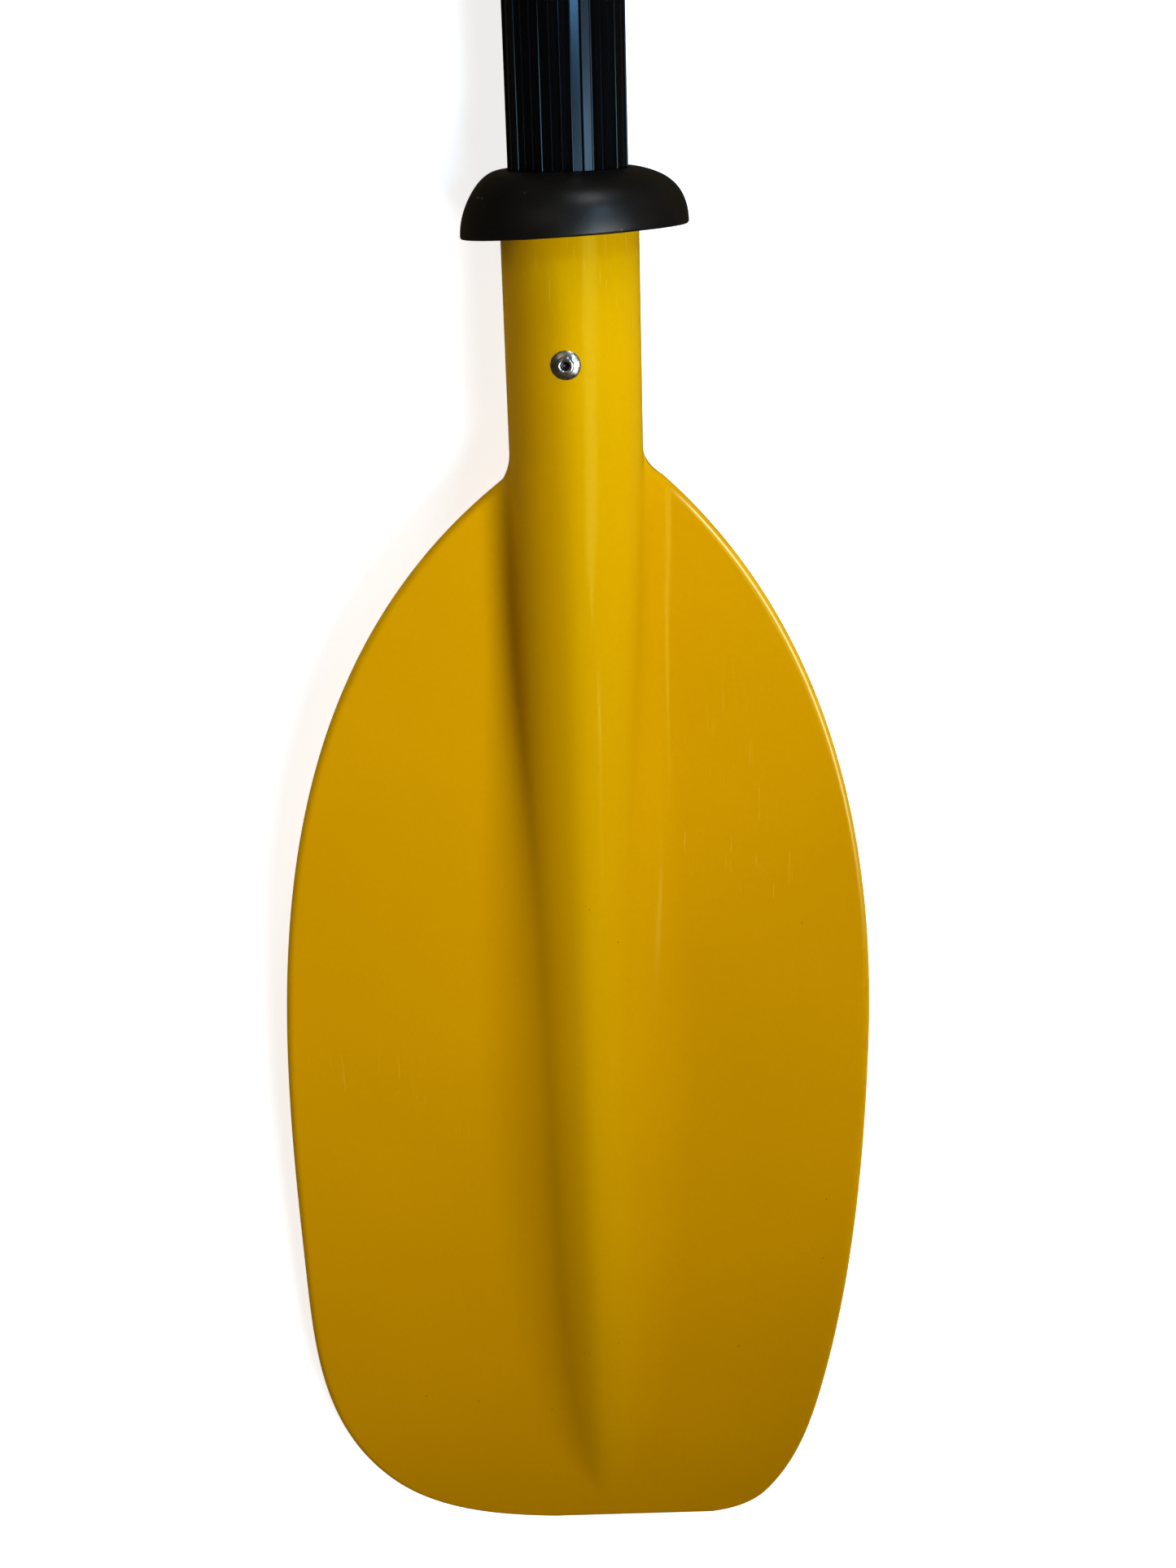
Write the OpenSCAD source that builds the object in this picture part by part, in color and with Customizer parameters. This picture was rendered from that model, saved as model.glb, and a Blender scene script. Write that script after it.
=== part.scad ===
// Double bladed kayak paddle, lying flat with the spine side of both blades up.
// The shaft runs along X and the origin is on its axis, in the middle of the take-apart joint.

/* [Paddle] */
// Overall length, tip to tip
paddle_length = 2180; // [2000:10:2400]

/* [Shaft] */
// Shaft diameter over the ribs
shaft_d = 30; // [28:0.5:32]
// Wall of the tube between the ribs
shaft_wall = 1.5; // [1.2:0.1:2]
// Number of ribs along the tube
rib_count = 36; // [24:2:40]
// Height of a rib
rib_h = 0.25; // [0.15:0.05:0.4]
// Width of a rib
rib_w = 0.6; // [0.4:0.1:1]
// Turn of the left tube's ribs round the shaft
rib_turn_left = 5; // [0:0.5:10]
// Turn of the right tube's ribs, which keeps them off the edges of the lock holes
rib_turn_right = 0; // [0:0.5:10]

/* [Blade] */
// Length of the blade from the neck to the tip
blade_l = 359.5; // [330:0.5:390]
// Greatest half width on the full side
full_half_w = 92.3; // [84:0.1:100]
// Greatest half width on the short side
short_half_w = 81.6; // [74:0.1:90]
// Thickness of the blade sheet
sheet_t = 4; // [3:0.5:5]
// How far the middle of the sheet lies below the shaft axis at the neck
sheet_drop = 4; // [2:0.5:6]
// How far the tip curves down towards the power face
spoon = 23; // [12:1:30]
// Width of the bevel that thins the sheet towards its edge
edge_bevel = 2; // [1:0.5:3]
// Thickness left at the very edge
edge_t = 1.6; // [1:0.2:2.4]

/* [Blade outline] */
// How far the full side stands out of the sleeve at the neck
full_neck_w = 2.1; // [1:0.1:4]
// Heading of the full side at the neck
full_neck_turn = 53; // [45:1:60]
// Distance from the neck to the widest place of the full side
full_peak_t = 254.2; // [220:0.1:280]
// Distance from the tip to the full side's corner
full_corner_t = 19.8; // [15:0.1:25]
// Half width at the full side's corner
full_corner_w = 71.7; // [65:0.1:78]
// Heading at the full side's corner
full_corner_turn = -42; // [-50:1:-35]
// Half width where the full side meets the straight tip
full_tip_w = 6; // [3:0.1:12]
// How far the short side stands out of the sleeve at the neck
short_neck_w = 5.2; // [3:0.1:8]
// Heading of the short side at the neck
short_neck_turn = 47; // [40:1:55]
// Distance from the neck to the widest place of the short side
short_peak_t = 172.9; // [150:0.1:200]
// Distance from the tip to the place where the short side's taper ends
short_taper_t = 55.4; // [45:0.1:65]
// Half width at the end of the short side's taper
short_taper_w = 71; // [66:0.1:74]
// Heading at the end of the short side's taper
short_taper_turn = -11; // [-16:1:-6]
// Distance from the tip to the short side's corner
short_corner_t = 9.7; // [7:0.1:14]
// Half width at the short side's corner
short_corner_w = 54; // [48:0.1:60]
// Heading at the short side's corner
short_corner_turn = -37; // [-45:1:-30]
// Half width where the short side meets the straight tip
short_tip_w = 31.3; // [25:0.1:40]

/* [Spine] */
// Distance from the neck to the end of the spine
spine_l = 349; // [310:1:355]
// Height of the spine above the sheet along the lower blade
spine_keel_h = 11.4; // [8:0.2:14]
// Distance over which the round neck sinks to that height
spine_sink_l = 74; // [50:1:90]
// How much the radius of the spine's back grows towards its end
spine_flatten = 8; // [2:0.5:12]
// How far the spine bows towards the full side half way along it
spine_bow = 2.5; // [0:0.1:5]
// Radius of the hollow along the spine's foot at the neck
foot_r = 9; // [6:0.5:12]
// Radius of that hollow along the lower blade
foot_low_r = 37; // [28:1:46]
// Length of the socket bulge on the power face, from the neck
bulge_l = 105; // [70:5:140]

/* [Blade socket] */
// Wall of the sleeve that takes the shaft
sleeve_wall = 2.4; // [2:0.1:3]
// Length of the sleeve, mouth to neck
sleeve_l = 72; // [60:1:90]
// Depth of the socket from the sleeve's mouth
socket_depth = 80; // [70:1:80]
// Radial clearance of the shaft in the socket
socket_clear = 0.05; // [0.02:0.01:0.1]
// Distance from the sleeve's mouth to its rivet
rivet_from_mouth = 39.5; // [30:0.5:55]
// Angle of the rivet round the sleeve, from straight up towards the full side
rivet_turn = 6.5; // [0:0.5:15]

/* [Drip ring] */
// Outside diameter of the drip ring
ring_d = 57.4; // [54:0.2:62]
// Height of the drip ring, top to rim
ring_h = 15.2; // [14:0.2:19]
// Wall of the drip ring
ring_wall = 2.2; // [1.6:0.1:3]
// Radius of the dome between the ring's top and its skirt
ring_dome_r = 13.1; // [11:0.1:13.5]
// Wall of the hub that grips the shaft
ring_hub_wall = 2.6; // [2:0.1:3.5]
// How far the skirt laps over the sleeve
ring_lap = 8.9; // [6:0.1:10]
// Radial clearance of the hub on the ribs
ring_clear = 0.1; // [0.05:0.01:0.1]
// Gap between the hub and the sleeve's mouth
ring_gap = 0.3; // [0.2:0.1:1]

/* [Take-apart joint] */
// Length of the ferrule
ferrule_l = 160; // [120:5:200]
// Wall of the ferrule
ferrule_wall = 1.5; // [1.2:0.1:2]
// Radial clearance of the ferrule in the tubes
ferrule_clear = 0.05; // [0.02:0.01:0.1]
// Thickness of the seal between the two tubes
seal_t = 2.5; // [1.5:0.5:4]
// Distance from the joint to the snap button
button_x = 35; // [25:1:45]
// Diameter of the snap button
button_d = 8; // [6:0.5:9]
// How far the button stands out of the tube
button_proud = 3; // [2:0.5:4]
// Radial clearance of the button in its holes
button_clear = 0.15; // [0.1:0.05:0.3]
// Feather angle between two lock holes
feather_step = 60; // [45:5:60]
// Thickness of the spring strip
strip_t = 0.8; // [0.6:0.1:1]
// Length of each leg of the spring strip
strip_leg = 38; // [30:1:42]
// Half length of the flat of the strip that carries the button
strip_flat = 6; // [5:0.5:8]
// Outer radius of the strip's bend
strip_bend_r = 2.5; // [2:0.1:4]
// Height of the button's domed top
button_dome_h = 1.6; // [1:0.1:2]
// Distance from the joint to the ferrule's rivets
ferrule_rivet_x = 40; // [30:1:55]

/* [Rivets] */
// Diameter of a blind rivet's shank
rivet_d = 4; // [3.2:0.1:4.8]
// Diameter of its head
rivet_head_d = 7.6; // [6.4:0.1:9]
// Height of its head
rivet_head_h = 1.5; // [1:0.1:2]
// Diameter of the mandrel left inside it
mandrel_d = 2.2; // [1.8:0.1:2.6]
// Diameter of the collar round the mandrel on the head
collar_d = 4.4; // [3.4:0.1:5]
// Height of that collar
collar_h = 0.25; // [0.1:0.05:0.4]
// Diameter of the bulb that holds the rivet inside the tube
bulb_d = 6.4; // [5:0.1:7]
// Length of that bulb
bulb_l = 3; // [2:0.1:4]
// Diameter of the mandrel's head under the bulb
mandrel_head_d = 3.5; // [2.8:0.1:4]
// Length of the mandrel's head
mandrel_head_l = 1.2; // [0.8:0.1:2]
// How far the mandrel's broken end lies below the top of the rivet's head
mandrel_sunk = 0.9; // [0:0.1:1.2]
// Depth of the flat seat under a head on the sleeve
sleeve_seat = 0.4; // [0.2:0.05:0.6]
// Depth of the flat seat under a head on the tube
shaft_seat = 0.15; // [0.1:0.05:0.3]
// Radial clearance of a head in its seat
seat_clear = 0.15; // [0.1:0.05:0.3]
// Radial clearance of the shank in its hole
rivet_clear = 0.05; // [0.02:0.01:0.1]

/* [Float plugs] */
// Length of a float plug
plug_l = 25; // [15:1:40]
// Distance from the ferrule's end to the plug
plug_gap = 10; // [2:1:30]

/* [Hidden] */
$fn = 96;
eps = 0.01;

blade_yellow = [0.9, 0.62, 0.02];
tube_black = [0.07, 0.07, 0.08];
rubber_black = [0.1, 0.095, 0.09];
rivet_silver = [0.78, 0.78, 0.76];
mandrel_grey = [0.35, 0.35, 0.36];
ferrule_silver = [0.7, 0.71, 0.72];
spring_silver = [0.72, 0.72, 0.7];
foam_white = [0.93, 0.93, 0.9];

shaft_r = shaft_d / 2;
tube_r = shaft_r - rib_h;
tube_bore_r = tube_r - shaft_wall;
socket_r = shaft_r + socket_clear;
sleeve_r = socket_r + sleeve_wall;
ferrule_r = tube_bore_r - ferrule_clear;
ferrule_bore_r = ferrule_r - ferrule_wall;

// Stations along X of the right half; the left half mirrors them
neck_x = paddle_length / 2 - blade_l;
mouth_x = neck_x - sleeve_l;
socket_end_gap = 0.3;
shaft_end_x = mouth_x + socket_depth - socket_end_gap;
ring_rim_x = mouth_x + ring_lap;
plug_x = ferrule_l / 2 + plug_gap;

// Flat seats carry the rivets' heads
seat_r = rivet_head_d / 2 + seat_clear;
sleeve_seat_z = sleeve_r - sleeve_seat;
shaft_seat_z = tube_r - shaft_seat;

// Blade outline: knots of distance from the neck, half width and heading in degrees
full_side = [
    [0, sleeve_r + full_neck_w, full_neck_turn],
    [full_peak_t, full_half_w, 0],
    [blade_l - full_corner_t, full_corner_w, full_corner_turn],
    [blade_l, full_tip_w, -90]
];
short_side = [
    [0, sleeve_r + short_neck_w, short_neck_turn],
    [short_peak_t, short_half_w, 0],
    [blade_l - short_taper_t, short_taper_w, short_taper_turn],
    [blade_l - short_corner_t, short_corner_w, short_corner_turn],
    [blade_l, short_tip_w, -90]
];

// The loft starts a little inside the sleeve and swells past it at the socket's end
flare_l = 8;
flare_inset = 1;
loft_swell = 0.2;
socket_end_t = socket_depth - sleeve_l;
socket_floor = 2;
spine_start = socket_end_t + socket_floor;

// The spine's height softens over its last millimetre; the hollow of its foot grows between two places
spine_end_soft = 0.7;
foot_grow_from = 30;
foot_grow_to = 190;

// Steps of the loft along the blade and across it
neck_steps = 8;
body_steps = 24;
tip_steps = 10;
spine_points = 7;
lobe_points = 3;
spine_share = 0.8;
least_spine_w = 16;
shoulder_t = 14;
tip_l = 25;
corner_t = blade_l - tip_l;
tip_step = 0.4;
halvings = 24;

function mix(a, b, s) = a + (b - a) * s;
function clamp(x, low, high) = min(max(x, low), high);
function heading(angle) = [cos(angle), sin(angle)];
function smooth_step(x, low, high) =
    let (s = clamp((x - low) / (high - low), 0, 1))
    s * s * (3 - 2 * s);

// One span between two knots is a cubic whose handles follow a circular arc
function handle(a, b) =
    let (turn = abs(b[2] - a[2]), chord = norm([b[0] - a[0], b[1] - a[1]]))
    chord * 2 / 3 * tan(turn / 4) / sin(turn / 2);
function span_point(a, b, s) =
    let (h = handle(a, b), p = [a[0], a[1]], q = [b[0], b[1]])
    pow(1 - s, 3) * p
    + 3 * s * pow(1 - s, 2) * (p + h * heading(a[2]))
    + 3 * s * s * (1 - s) * (q - h * heading(b[2]))
    + pow(s, 3) * q;
function span_solve(a, b, t, low = 0, high = 1, depth = halvings) =
    let (s = (low + high) / 2)
    depth == 0 ? span_point(a, b, s)[1]
    : span_point(a, b, s)[0] < t ? span_solve(a, b, t, s, high, depth - 1)
    : span_solve(a, b, t, low, s, depth - 1);
function knot_width(side, t, i = 0) =
    t <= side[i + 1][0] || i == len(side) - 2
    ? span_solve(side[i], side[i + 1], t)
    : knot_width(side, t, i + 1);

// Half width of one side, with the flare that leaves the sleeve before the neck
function half_width(side, t) =
    t >= 0 ? knot_width(side, t)
    : mix(sleeve_r - flare_inset, side[0][1], pow(1 + t / flare_l, 2));

// Middle of the sheet along the blade
function sheet_mid(t) = -sheet_drop - spoon * pow(max(t, 0) / blade_l, 2);

// Swell of the loft against the sleeve: inside it at the flare, outside it at the socket's end
function swell(t) = mix(-flare_inset, loft_swell, clamp((t + flare_l) / (flare_l + socket_end_t), 0, 1));

// Section of a ridge of height h: a round back of radius r that runs out to the sheet in a hollow foot
function ridge_turn(h, r, hollow_r) = acos(clamp(1 - h / (r + hollow_r), 0, 1));
function ridge_w(h, r, hollow_r) = (r + hollow_r) * sin(ridge_turn(h, r, hollow_r));
function ridge_z(c, h, r, hollow_r) =
    let (to_foot = clamp(ridge_w(h, r, hollow_r) - abs(c), 0, hollow_r))
    abs(c) < r * sin(ridge_turn(h, r, hollow_r))
    ? h - r + sqrt(r * r - c * c)
    : hollow_r - sqrt(pow(hollow_r, 2) - pow(to_foot, 2));

// Spine on the back face: the round neck sinks to a keel that runs out at the tip
function neck_r(t) = sleeve_r + swell(t);
function spine_part(t) = clamp(t / spine_l, 0, 1);
function keel_h(t) =
    let (h = spine_keel_h * (1 - pow(spine_part(t), 4)))
    h * h / (h + spine_end_soft);
function sunk(t) = 1 - exp(-pow(max(t - spine_start, 0) / spine_sink_l, 2));
function spine_h(t) = keel_h(t) + (neck_r(t) + sheet_drop - sheet_t / 2 - keel_h(0)) * (1 - sunk(t));
function spine_r(t) = neck_r(t) + spine_flatten * pow(spine_part(t), 2);
function spine_foot_r(t) = mix(foot_r, foot_low_r, smooth_step(t, foot_grow_from, foot_grow_to));
function spine_w(t) = ridge_w(spine_h(t), spine_r(t), spine_foot_r(t));
function top_z(t, c) =
    let (from_crest = c - spine_bow * sin(180 * spine_part(t)))
    sheet_mid(t) + sheet_t / 2 + ridge_z(from_crest, spine_h(t), spine_r(t), spine_foot_r(t));

// Socket bulge on the power face
function bulge_h(t) = (neck_r(t) - sheet_drop - sheet_t / 2) * (1 - smooth_step(t, spine_start, bulge_l));
function bottom_z(t, c) = sheet_mid(t) - sheet_t / 2 - ridge_z(c, bulge_h(t), neck_r(t), foot_r);

// Places across one side: even steps over the spine, then even steps over the lobe
function side_places(t, edge) =
    let (inner = min(max(spine_w(t), least_spine_w), spine_share * edge))
    concat(
        [for (i = [1 : spine_points]) inner * i / spine_points],
        [for (i = [1 : lobe_points]) mix(inner, edge, i / lobe_points)]
    );
function places(t, short_edge, full_edge) =
    let (short = side_places(t, short_edge), n = spine_points + lobe_points)
    concat([for (i = [n - 1 : -1 : 0]) -short[i]], [0], side_places(t, full_edge));

stations = concat(
    [for (i = [0 : neck_steps]) mix(-flare_l, shoulder_t, i / neck_steps)],
    [for (i = [1 : body_steps]) mix(shoulder_t, corner_t, i / body_steps)],
    [for (i = [1 : tip_steps]) mix(corner_t, blade_l - tip_step, sin(90 * i / tip_steps))]
);
row = 2 * (spine_points + lobe_points) + 1;
ring_points = 2 * row + 4;

// One closed section: its two rims stand out past the full thickness by the edge bevel
function section(t) =
    let (
        inner_t = t * (1 - edge_bevel / blade_l),
        short_w = half_width(short_side, t),
        full_w = half_width(full_side, t),
        across = places(inner_t, short_w - edge_bevel, full_w - edge_bevel),
        mid = sheet_mid(t)
    )
    concat(
        [[t, -short_w, mid + edge_t / 2]],
        [for (c = across) [inner_t, c, top_z(inner_t, c)]],
        [[t, full_w, mid + edge_t / 2], [t, full_w, mid - edge_t / 2]],
        [for (i = [row - 1 : -1 : 0]) [inner_t, across[i], bottom_z(inner_t, across[i])]],
        [[t, -short_w, mid - edge_t / 2]]
    );
function tip_section() =
    let (
        short_w = half_width(short_side, blade_l),
        full_w = half_width(full_side, blade_l),
        across = places(blade_l, short_w - edge_bevel, full_w - edge_bevel),
        line = concat([-short_w], across, [full_w]),
        mid = sheet_mid(blade_l)
    )
    concat(
        [for (c = line) [blade_l, c, mid + edge_t / 2]],
        [for (i = [row + 1 : -1 : 0]) [blade_l, line[i], mid - edge_t / 2]]
    );
function skin_faces(rings) = [
    for (i = [0 : rings - 2], j = [0 : ring_points - 1], half = [0, 1])
        let (a = i * ring_points + j, b = i * ring_points + (j + 1) % ring_points)
        half == 0 ? [a, b, b + ring_points] : [a, b + ring_points, a + ring_points]
];
function cap_faces(first, flip) = [
    for (i = [0 : row], half = [0, 1])
        let (a = first + i, b = first + i + 1)
        let (c = first + ring_points - 2 - i, d = first + ring_points - 1 - i)
        let (face = half == 0 ? [a, c, b] : [a, d, c])
        flip ? [face[2], face[1], face[0]] : face
];

module blade_loft() {
    rings = concat([for (t = stations) section(t)], [tip_section()]);
    count = len(rings);
    polyhedron(
        points = [for (ring = rings) each ring],
        faces = concat(skin_faces(count), cap_faces(0, false), cap_faces((count - 1) * ring_points, true))
    );
}

// Turns a shape drawn round Z so that it stands along X
module along_x(x) {
    translate([x, 0, 0])
        rotate([0, 90, 0])
            children();
}

// Places what is drawn for the right half, or its mirror image for the left half
module on_side(side) {
    mirror([side == "left" ? 1 : 0, 0, 0])
        children();
}

// Turns a shape drawn upright on the shaft's axis to the rivet's place on the sleeve
module at_sleeve_rivet() {
    translate([mouth_x + rivet_from_mouth, 0, 0])
        rotate([-rivet_turn, 0, 0])
            children();
}

// The ferrule is riveted on both flanks of the left tube
module at_ferrule_rivets() {
    for (turn = [90, -90])
        translate([-ferrule_rivet_x, 0, 0])
            rotate([turn, 0, 0])
                children();
}

// The hole for a rivet's shank, and the flat seat under its head
module rivet_hole(seat_z) {
    cylinder(h = 2 * shaft_d, r = rivet_d / 2 + rivet_clear);
    translate([0, 0, seat_z])
        cylinder(h = shaft_d, r = seat_r);
}

// Height at which a rivet's bulb touches the round wall of a bore
function bulb_z(bore_r) = sqrt(pow(bore_r, 2) - pow(bulb_d / 2, 2)) - rivet_clear;

// Blind rivet standing on Z: domed head on its seat, upset bulb inside the tube
module blind_rivet(seat_z, bore_r) {
    dome_r = (pow(rivet_head_d / 2, 2) + pow(rivet_head_h, 2)) / (2 * rivet_head_h);
    difference() {
        union() {
            translate([0, 0, bulb_z(bore_r) - eps])
                cylinder(h = seat_z - bulb_z(bore_r) + 2 * eps, r = rivet_d / 2);
            intersection() {
                translate([0, 0, seat_z])
                    cylinder(h = rivet_head_h, r = rivet_head_d / 2);
                translate([0, 0, seat_z + rivet_head_h - dome_r])
                    sphere(r = dome_r);
            }
            translate([0, 0, seat_z + rivet_head_h / 2])
                cylinder(h = rivet_head_h / 2 + collar_h, r = collar_d / 2);
            translate([0, 0, bulb_z(bore_r) - bulb_l])
                cylinder(h = bulb_l, r = bulb_d / 2);
        }
        translate([0, 0, bulb_z(bore_r) - bulb_l - eps])
            cylinder(h = shaft_d, r = mandrel_d / 2);
    }
}

// Broken-off mandrel that fills a blind rivet, its head drawn up under the bulb
module mandrel(seat_z, bore_r) {
    head_z = bulb_z(bore_r) - bulb_l - mandrel_head_l;
    broken_z = seat_z + rivet_head_h - mandrel_sunk;
    translate([0, 0, head_z])
        cylinder(h = mandrel_head_l, r = mandrel_head_d / 2);
    translate([0, 0, head_z + mandrel_head_l / 2])
        cylinder(h = broken_z - head_z - mandrel_head_l / 2, r = mandrel_d / 2);
}

// Section of the ribbed tube: ribs stand on the corners between flat bands and end on one circle
module ribbed_section(turn) {
    difference() {
        union() {
            polygon([for (i = [0 : rib_count - 1]) tube_r * heading(360 * i / rib_count + turn)]);
            intersection() {
                circle(r = shaft_r);
                for (i = [0 : rib_count - 1])
                    rotate(360 * i / rib_count + turn)
                        translate([tube_r - rib_w, -rib_w / 2])
                            square([2 * rib_w, rib_w]);
            }
        }
        circle(r = tube_bore_r);
    }
}

module ribbed_tube(turn) {
    along_x(seal_t / 2)
        linear_extrude(shaft_end_x - seal_t / 2)
            ribbed_section(turn);
}

// A lock hole is drilled straight down through one wall
module lock_hole() {
    translate([button_x, 0, 0])
        cylinder(h = shaft_d, r = button_d / 2 + button_clear);
}

module shaft_left() {
    color(tube_black)
        difference() {
            on_side("left") ribbed_tube(rib_turn_left);
            on_side("left") at_sleeve_rivet() rivet_hole(shaft_d);
            at_ferrule_rivets() rivet_hole(shaft_seat_z);
        }
}

module shaft_right() {
    color(tube_black)
        difference() {
            ribbed_tube(rib_turn_right);
            at_sleeve_rivet() rivet_hole(shaft_d);
            for (turn = [-feather_step, 0, feather_step])
                rotate([turn, 0, 0]) lock_hole();
        }
}

// Moulded blade: sleeve, spine and spooned sheet in one piece, with a blind socket
module blade(side) {
    color(blade_yellow)
        on_side(side)
            difference() {
                union() {
                    translate([neck_x, 0, 0])
                        blade_loft();
                    along_x(mouth_x)
                        cylinder(h = socket_depth + socket_floor, r = sleeve_r);
                }
                along_x(mouth_x - eps)
                    cylinder(h = socket_depth + eps, r = socket_r);
                at_sleeve_rivet() rivet_hole(sleeve_seat_z);
            }
}

module blade_left() {
    blade("left");
}

module blade_right() {
    blade("right");
}

module blade_rivet(side) {
    color(rivet_silver)
        on_side(side) at_sleeve_rivet() blind_rivet(sleeve_seat_z, tube_bore_r);
}

module blade_rivet_left() {
    blade_rivet("left");
}

module blade_rivet_right() {
    blade_rivet("right");
}

module blade_mandrel(side) {
    color(mandrel_grey)
        on_side(side) at_sleeve_rivet() mandrel(sleeve_seat_z, tube_bore_r);
}

module rivet_mandrel_left() {
    blade_mandrel("left");
}

module rivet_mandrel_right() {
    blade_mandrel("right");
}

// Rounded cup section of the drip ring, shrunk by a wall: radius across, height up from the rim
module cup_section(wall) {
    centre_r = ring_d / 2 - ring_dome_r;
    centre_h = ring_h - ring_dome_r;
    square([ring_d / 2 - wall, centre_h]);
    square([centre_r, ring_h - wall]);
    intersection() {
        translate([centre_r, centre_h])
            circle(r = ring_dome_r - wall);
        translate([0, centre_h])
            square(ring_d);
    }
}

module drip_ring(side) {
    bore_r = shaft_r + ring_clear;
    hub_l = ring_h - ring_lap - ring_gap;
    color(rubber_black)
        on_side(side)
            along_x(ring_rim_x)
                rotate_extrude()
                    rotate(180)
                        mirror([1, 0])
                            difference() {
                                union() {
                                    difference() {
                                        cup_section(0);
                                        translate([0, -eps])
                                            cup_section(ring_wall);
                                    }
                                    translate([0, ring_h - hub_l])
                                        square([bore_r + ring_hub_wall, hub_l]);
                                }
                                translate([0, -eps])
                                    square([bore_r, ring_h + 2 * eps]);
                            }
}

module drip_ring_left() {
    drip_ring("left");
}

module drip_ring_right() {
    drip_ring("right");
}

// Inner tube of the joint, fixed in the left tube
module ferrule() {
    color(ferrule_silver)
        difference() {
            along_x(-ferrule_l / 2)
                cylinder(h = ferrule_l, r = ferrule_r);
            along_x(-ferrule_l / 2 - eps)
                cylinder(h = ferrule_l + 2 * eps, r = ferrule_bore_r);
            lock_hole();
            at_ferrule_rivets() rivet_hole(shaft_d);
        }
}

module ferrule_rivets() {
    color(rivet_silver)
        at_ferrule_rivets() blind_rivet(shaft_seat_z, ferrule_bore_r);
}

module ferrule_mandrels() {
    color(mandrel_grey)
        at_ferrule_rivets() mandrel(shaft_seat_z, ferrule_bore_r);
}

// Rubber ring on the ferrule between the two tube ends
module seal_ring() {
    color(rubber_black)
        difference() {
            along_x(-seal_t / 2)
                cylinder(h = seal_t, r = tube_r);
            along_x(-seal_t / 2 - eps)
                cylinder(h = seal_t + 2 * eps, r = ferrule_r + ferrule_clear);
        }
}

// Spring clip of one folded strip: two seats against the ferrule, two legs that meet at a bend
module snap_button() {
    strip_w = button_d;
    seat_z = sqrt(pow(ferrule_bore_r, 2) - pow(strip_w / 2, 2)) - ferrule_clear;
    bend_x = strip_flat + strip_leg;
    button_top_z = shaft_r + button_proud;
    dome_r = (pow(button_d / 2, 2) + pow(button_dome_h, 2)) / (2 * button_dome_h);
    half_strip = [
        [-strip_flat, seat_z],
        [strip_flat, seat_z],
        [bend_x, strip_bend_r],
        [bend_x, strip_bend_r - strip_t],
        [strip_flat, seat_z - strip_t],
        [-strip_flat, seat_z - strip_t]
    ];
    color(spring_silver)
        translate([button_x, 0, 0]) {
            translate([0, strip_w / 2, 0])
                rotate([90, 0, 0])
                    linear_extrude(strip_w) {
                        polygon(half_strip);
                        mirror([0, 1]) polygon(half_strip);
                        intersection() {
                            translate([bend_x, 0])
                                difference() {
                                    circle(r = strip_bend_r);
                                    circle(r = strip_bend_r - strip_t);
                                }
                            translate([bend_x - eps, -strip_bend_r])
                                square(2 * strip_bend_r);
                        }
                    }
            intersection() {
                translate([0, 0, seat_z - strip_t / 2])
                    cylinder(h = button_top_z - seat_z + strip_t / 2, r = button_d / 2);
                translate([0, 0, button_top_z - dome_r])
                    sphere(r = dome_r);
            }
        }
}

// Foam plug that keeps water out of one half
module float_plug(side) {
    color(foam_white)
        on_side(side)
            along_x(plug_x)
                cylinder(h = plug_l, r = tube_bore_r);
}

module float_plug_left() {
    float_plug("left");
}

module float_plug_right() {
    float_plug("right");
}

blade_left();
blade_right();
shaft_left();
shaft_right();
drip_ring_left();
drip_ring_right();
blade_rivet_left();
blade_rivet_right();
rivet_mandrel_left();
rivet_mandrel_right();
ferrule();
ferrule_rivets();
ferrule_mandrels();
seal_ring();
snap_button();
float_plug_left();
float_plug_right();
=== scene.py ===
"""Looks of the kayak paddle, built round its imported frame, in metres and in the frame's own axes."""
import bmesh
import bpy
import math
import numpy as np
from mathutils import Matrix, Vector


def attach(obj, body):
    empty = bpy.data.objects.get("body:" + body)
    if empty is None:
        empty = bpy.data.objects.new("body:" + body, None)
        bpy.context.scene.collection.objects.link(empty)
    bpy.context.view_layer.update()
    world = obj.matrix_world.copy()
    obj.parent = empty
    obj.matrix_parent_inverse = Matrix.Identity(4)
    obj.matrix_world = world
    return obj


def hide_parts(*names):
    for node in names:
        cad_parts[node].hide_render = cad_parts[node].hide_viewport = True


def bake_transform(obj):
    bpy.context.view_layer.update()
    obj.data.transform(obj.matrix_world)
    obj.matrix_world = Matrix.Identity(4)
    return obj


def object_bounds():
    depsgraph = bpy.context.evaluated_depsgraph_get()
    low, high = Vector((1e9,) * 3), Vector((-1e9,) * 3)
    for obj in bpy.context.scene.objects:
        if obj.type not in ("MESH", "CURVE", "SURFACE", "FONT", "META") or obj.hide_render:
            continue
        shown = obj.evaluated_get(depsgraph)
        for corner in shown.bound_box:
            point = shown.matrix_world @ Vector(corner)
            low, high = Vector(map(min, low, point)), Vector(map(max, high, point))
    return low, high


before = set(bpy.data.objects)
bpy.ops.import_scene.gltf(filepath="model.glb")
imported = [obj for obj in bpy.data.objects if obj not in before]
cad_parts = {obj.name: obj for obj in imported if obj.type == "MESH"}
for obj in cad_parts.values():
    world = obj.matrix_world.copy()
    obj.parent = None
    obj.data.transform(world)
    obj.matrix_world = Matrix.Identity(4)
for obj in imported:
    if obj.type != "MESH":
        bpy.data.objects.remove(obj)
CAD_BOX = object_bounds()
MM = 0.001
SIDES = ("left", "right")

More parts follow.
